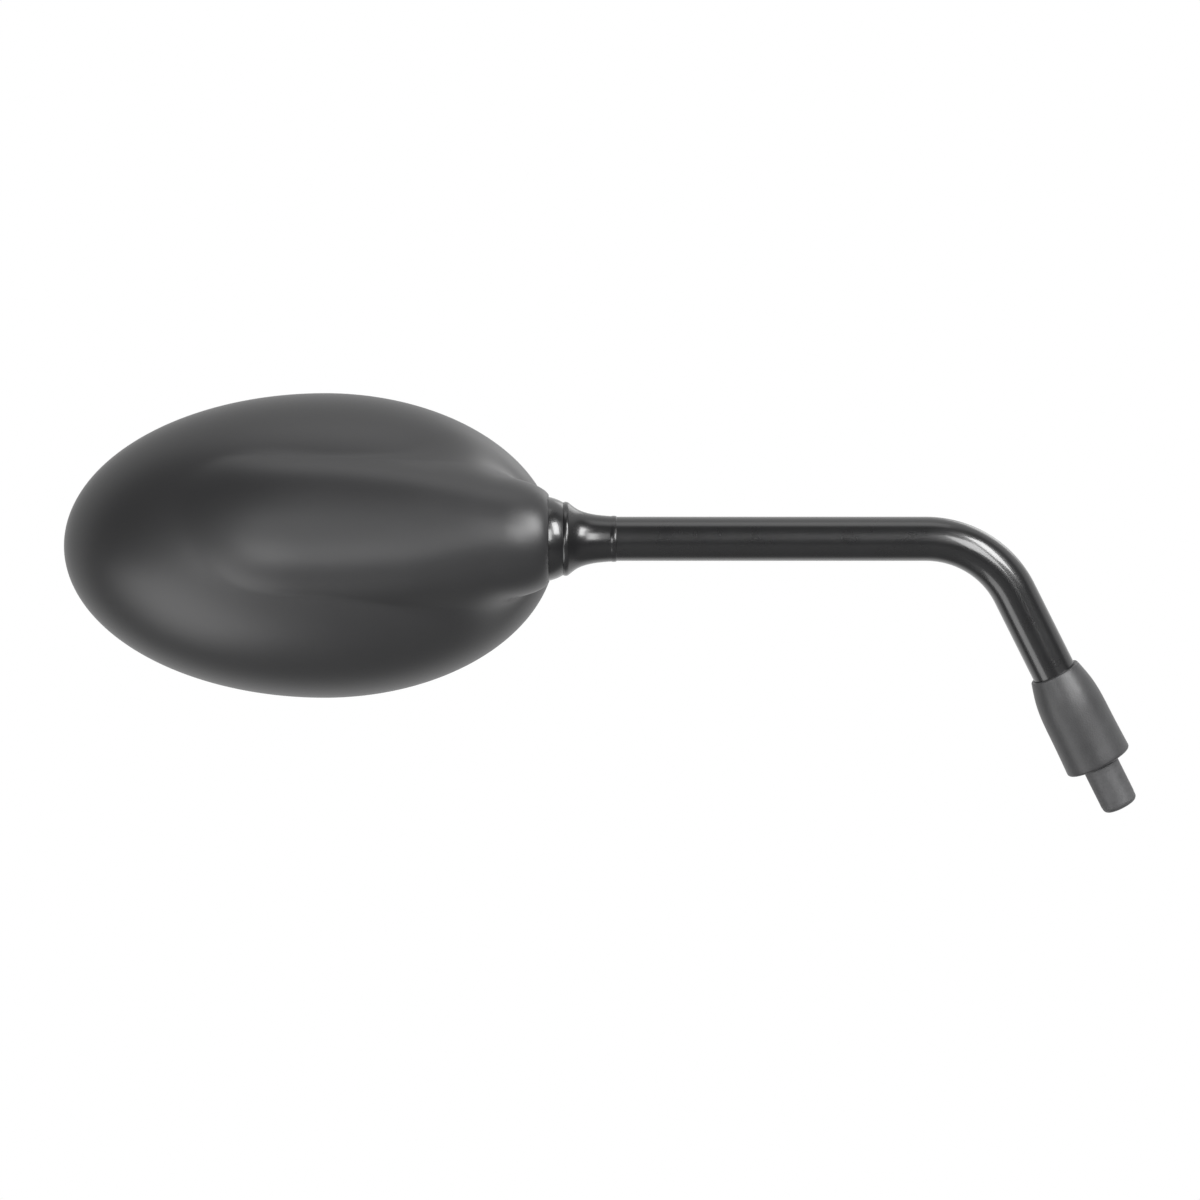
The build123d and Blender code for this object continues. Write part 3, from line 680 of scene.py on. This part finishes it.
# Rubber boot: a dull dark grey sleeve, pushed up the leg over the lock nut, wider at its mouth.
# Its skin is dusty and slightly uneven, as moulded rubber is.
rubber_colour = (0.036, 0.036, 0.0372)
boot_rubber, tree, shader, where = finish_of("boot_rubber", rubber_colour, 0.7)
dust = noise(tree, where, size=0.006, detail=4.0, rough=0.6)
pores = noise(tree, where, size=0.0004)
vary(tree, shader, rubber_colour, dust * 0.6 + pores * 0.4, amount=0.7)
feed(tree, shader, "Roughness", 0.36 + dust * 0.16)
bump(tree, shader, pores * 0.5 + dust * 0.5, strength=0.5, depth=0.00015)
boot_length = 0.0278
boot_steps = 40
mouth_round = 0.0008
mouth_radius = 0.00925
waist_height = 0.01112
waist_radius = 0.0090
shoulder_drop = 0.006116
shoulder_radius = 0.0084
top_radius = 0.0069
top_round = 0.0004
cavity_radius = 0.00825
cavity_depth = 0.0095
cavity_taper = 0.0045
boot_places = [mouth_round, waist_height, boot_length - shoulder_drop, boot_length]
boot_radii = [mouth_radius, waist_radius, shoulder_radius, top_radius]
boot_radius_at = smooth_curve(boot_places, boot_radii)
round_start = boot_length - top_round
boot_outline = [(boot_length, bore), (cavity_depth + cavity_taper, bore)]
boot_outline += [(cavity_depth, cavity_radius), (0, cavity_radius)]
boot_outline += arc((mouth_round, mouth_radius - mouth_round), mouth_round, 180, 90, count=8)
for i in range(1, boot_steps):
    up = mouth_round + (round_start - mouth_round) * i / boot_steps
    boot_outline.append((up, float(boot_radius_at(up))))
top_edge = float(boot_radius_at(round_start))
boot_outline += arc((round_start, top_edge - top_round), top_round, 90, 0, count=6)
boot_outline.append((boot_length, bore))
boot_mesh = lathe("boot", boot_outline, (0, 0, 0), -leg_down, boot_rubber)
place(boot_mesh, "boot", "stem", "boot_rubber", "stud_boot")

# Stud: a dull black plated steel stud, shouldered where it enters the tube, with a rounded end.
# Its fine rolled thread is one coil, swept up to the relief groove by a node tree.
stud_colour = (0.075, 0.075, 0.077)
stud_steel, tree, shader, where = finish_of("stud_steel", stud_colour, 0.5, metallic=0.3)
tarnish = noise(tree, where, size=0.003, detail=4.0, rough=0.6)
vary(tree, shader, stud_colour, tarnish, amount=0.4)
feed(tree, shader, "Roughness", 0.42 + tarnish * 0.25)
bump(tree, shader, tarnish, strength=0.2, depth=0.00005)
stud_radius = 0.005
thread_pitch = 0.00125
thread_depth = 0.00008
thread_sunk = 0.00002
ridge_root = 0.0012
ridge_crest = 0.0009
ridge_steps = 72
sharp_edge = math.radians(40)
core_radius = stud_radius - thread_depth
stud_tip = -0.0138
tip_round = 0.0014
relief_radius = 0.0043
relief_length = 0.0009
collar_foot = 0.013
stud_shank = 0.014
stud_end = tube_foot + stud_shank
stud_outline = [(stud_tip, 0)]
stud_outline += arc((stud_tip + tip_round, core_radius - tip_round), tip_round, 180, 90, count=8)
stud_outline += [(0, core_radius), (0, relief_radius), (relief_length, relief_radius)]
stud_outline += [(relief_length, stud_radius), (collar_foot, stud_radius)]
stud_outline += [(collar_foot, tube_radius), (tube_foot, tube_radius), (tube_foot, shank_radius)]
stud_outline += [(stud_end, shank_radius), (stud_end, 0)]
stud_mesh = lathe("stud", stud_outline, (0, 0, 0), -leg_down, stud_steel)
place(stud_mesh, "stud", "stem", "stud_steel", "threaded_stud")

thread_start = stud_tip + tip_round + ridge_root / 2
thread_turns = (-ridge_root / 2 - thread_start) / thread_pitch
tree, start, end, add = node_tree("rolled_thread", ["Radius", "Turns", "Length", "Root", "Crest", "Height"])
coil = add("GeometryNodeCurveSpiral", Resolution=ridge_steps, Rotations=start["Turns"])
tree.links.new(start["Length"], coil.inputs["Height"])
for side in ("Start Radius", "End Radius"):
    tree.links.new(start["Radius"], coil.inputs[side])
upright = add("GeometryNodeSetCurveNormal", {"mode": "Z_UP"}, Curve=coil.outputs[0])
ridge = add("GeometryNodeCurvePrimitiveQuadrilateral", {"mode": "TRAPEZOID"}, Offset=0.0)
for size, side in (("Height", "Height"), ("Root", "Bottom Width"), ("Crest", "Top Width")):
    tree.links.new(start[size], ridge.inputs[side])
outward = add("GeometryNodeTransform", Geometry=ridge.outputs[0], Rotation=(0, 0, -math.pi / 2))
swept = add("GeometryNodeCurveToMesh", Curve=upright.outputs[0], Profile_Curve=outward.outputs[0])
swept.inputs["Fill Caps"].default_value = True
whole = add("GeometryNodeRealizeInstances", Geometry=swept.outputs[0])
painted = add("GeometryNodeSetMaterial", Geometry=whole.outputs[0], Material=stud_steel)
tree.links.new(painted.outputs[0], end)
ridge_height = thread_depth + thread_sunk
thread_sizes = {
    "Radius": stud_radius - ridge_height / 2,
    "Turns": thread_turns,
    "Length": thread_turns * thread_pitch,
    "Root": ridge_root,
    "Crest": ridge_crest,
    "Height": ridge_height,
}
thread_mesh = grow("thread", tree, thread_sizes, stud_steel)
thread_mesh.set_sharp_from_angle(angle=sharp_edge)
thread_turn = (-leg_down).to_track_quat("Z", "Y").to_matrix().to_4x4()
thread_mesh.transform(thread_turn @ Matrix.Translation((0, 0, thread_start)))
place(thread_mesh, "thread", "stem", "stud_steel", "threaded_stud")

# Glass: a convex mirror, silvered and slightly hazy, cut to the rim's egg shape with ground edges.
# Its front is part of a large sphere, and the seal holds it in the rim's recess.
glass_inset = 0.0022
glass_sphere = 1.2
glass_thickness = 0.0022
glass_set_back = 0.0004
glass_colour = (0.62, 0.64, 0.66)
silvered, tree, shader, where = finish_of("silvered_glass", glass_colour, 0.02, metallic=1.0)
haze = noise(tree, where, size=0.02, detail=3.0)
vary(tree, shader, glass_colour, haze, amount=0.04)
feed(tree, shader, "Roughness", 0.012 + haze * 0.02)
glass_middle = (egg_inner - egg_outer) / 2


def egg_point(turn, inset):
    """Point of the rim's outline, drawn in by inset, about the rim's middle."""
    length = (egg_inner if math.cos(turn) > 0 else egg_outer) - inset
    return length * math.cos(turn), (egg_height - inset) * math.sin(turn)


def egg_loft(rings, closed, count=240):
    """Mesh through rings of the rim's outline: inset from the rim and place along Y for each ring."""
    builder = bmesh.new()
    made = []
    for inset, depth in rings:
        ring = []
        for i in range(count):
            x, z = egg_point(2 * math.pi * (i + 0.5) / count, inset)
            y = depth(x, z) if callable(depth) else depth
            ring.append(builder.verts.new(ball + Vector((widest + x, rim_forward + y, z))))
        made.append(ring)
    if closed:
        made.append(made[0])
    for first, second in zip(made, made[1:]):
        for i in range(count):
            j = (i + 1) % count
            builder.faces.new((first[i], first[j], second[j], second[i]))
    return builder, made


def to_mesh(name, builder, material, weld=1e-7):
    """Plain mesh from a loft, with doubled points joined, faces outward and smooth."""
    bmesh.ops.remove_doubles(builder, verts=builder.verts, dist=weld)
    bmesh.ops.recalc_face_normals(builder, faces=builder.faces)
    mesh = bpy.data.meshes.new(name)
    builder.to_mesh(mesh)
    builder.free()
    mesh.materials.append(material)
    mesh.polygons.foreach_set("use_smooth", [True] * len(mesh.polygons))
    return mesh


def glass_face(set_back):
    """Height of a sphere about the glass's centre, measured from the rim's plane."""
    radius = glass_sphere - set_back
    return lambda x, z: math.sqrt(radius**2 - (x - glass_middle)**2 - z**2) - glass_sphere - glass_set_back


bevel = 0.0003
inmost_ring = 0.0405
face_rings = 24
front_insets = np.linspace(inmost_ring, glass_inset + bevel, face_rings)
glass_rings = [(inset, glass_face(0)) for inset in front_insets]
glass_rings += [(glass_inset, glass_face(bevel)), (glass_inset, glass_face(glass_thickness - bevel))]
glass_rings += [(inset, glass_face(glass_thickness)) for inset in front_insets[::-1]]
builder, made = egg_loft(glass_rings, closed=False)
for ring in (made[0], made[-1]):
    builder.faces.new(ring)
place(to_mesh("glass", builder, silvered), "glass", "head", "mirror_glass", "mirror_glass")

# Seal: a ring of black rubber, extruded and pressed into the rim's recess round the glass.
# Its lip reaches over the edge of the glass, and its corners are slightly rounded.
seal_colour = (0.018, 0.018, 0.018)
seal_rubber, tree, shader, where = finish_of("seal_rubber", seal_colour, 0.55)
seal_dust = noise(tree, where, size=0.004, detail=3.0)
vary(tree, shader, seal_colour, seal_dust, amount=0.3)
feed(tree, shader, "Roughness", 0.48 + seal_dust * 0.15)
bump(tree, shader, noise(tree, where, size=0.0005), strength=0.2, depth=0.00005)
seal_outer = 0.00165
seal_inner = 0.00265
seal_top = -0.0003
seal_foot = -0.00495
seal_edge = 0.0002
lip_edge = 0.0003
lip_foot = glass_face(-close_fit)
glass_side = glass_inset - close_fit
seal_rings = [(seal_outer, seal_foot), (seal_outer, seal_top - seal_edge), (seal_outer + seal_edge, seal_top)]
seal_rings += [(seal_inner - lip_edge, seal_top), (seal_inner, seal_top - lip_edge)]
seal_rings += [(seal_inner, lip_foot), (glass_side, lip_foot), (glass_side, seal_foot)]
builder, made = egg_loft(seal_rings, closed=True)
place(to_mesh("seal", builder, seal_rubber), "seal", "head", "seal_rubber", "rim_seal")

# What the housing and the boot hide: nylon pads and cup, steel spring, bracket and screws, brass inserts,
# the foam pad and plastic carrier of the glass, and the plated nut and washer on the stud.
# They keep the shapes of the solids, and each gets the finish of what it is made of.
hidden_colours = {
    "nylon": (0.72, 0.70, 0.64),
    "plain_steel": (0.55, 0.55, 0.54),
    "brass": (0.75, 0.55, 0.25),
    "foam_pad": (0.16, 0.16, 0.16),
    "carrier_plastic": (0.03, 0.03, 0.03),
}
hidden_roughness = {"nylon": 0.45, "plain_steel": 0.35, "brass": 0.3, "foam_pad": 0.9, "carrier_plastic": 0.5}
hidden_metals = ("plain_steel", "brass")
roughness_spread = 0.12
hidden_materials = {"stud_steel": stud_steel}
for slot, colour in hidden_colours.items():
    roughness = hidden_roughness[slot]
    metallic = 1.0 if slot in hidden_metals else 0.0
    hidden_materials[slot], tree, shader, where = finish_of(slot, colour, roughness, metallic)
    speckle = noise(tree, where, size=0.001, detail=3.0)
    vary(tree, shader, colour, speckle, amount=0.15)
    feed(tree, shader, "Roughness", roughness - roughness_spread / 2 + speckle * roughness_spread)
    bump(tree, shader, speckle, strength=0.15, depth=0.00003)
for part in frame["record"]["subparts"]:
    if part["material_slot"] in hidden_materials:
        for socket in frame["nodes"][part["node"]].material_slots:
            socket.material = hidden_materials[part["material_slot"]]
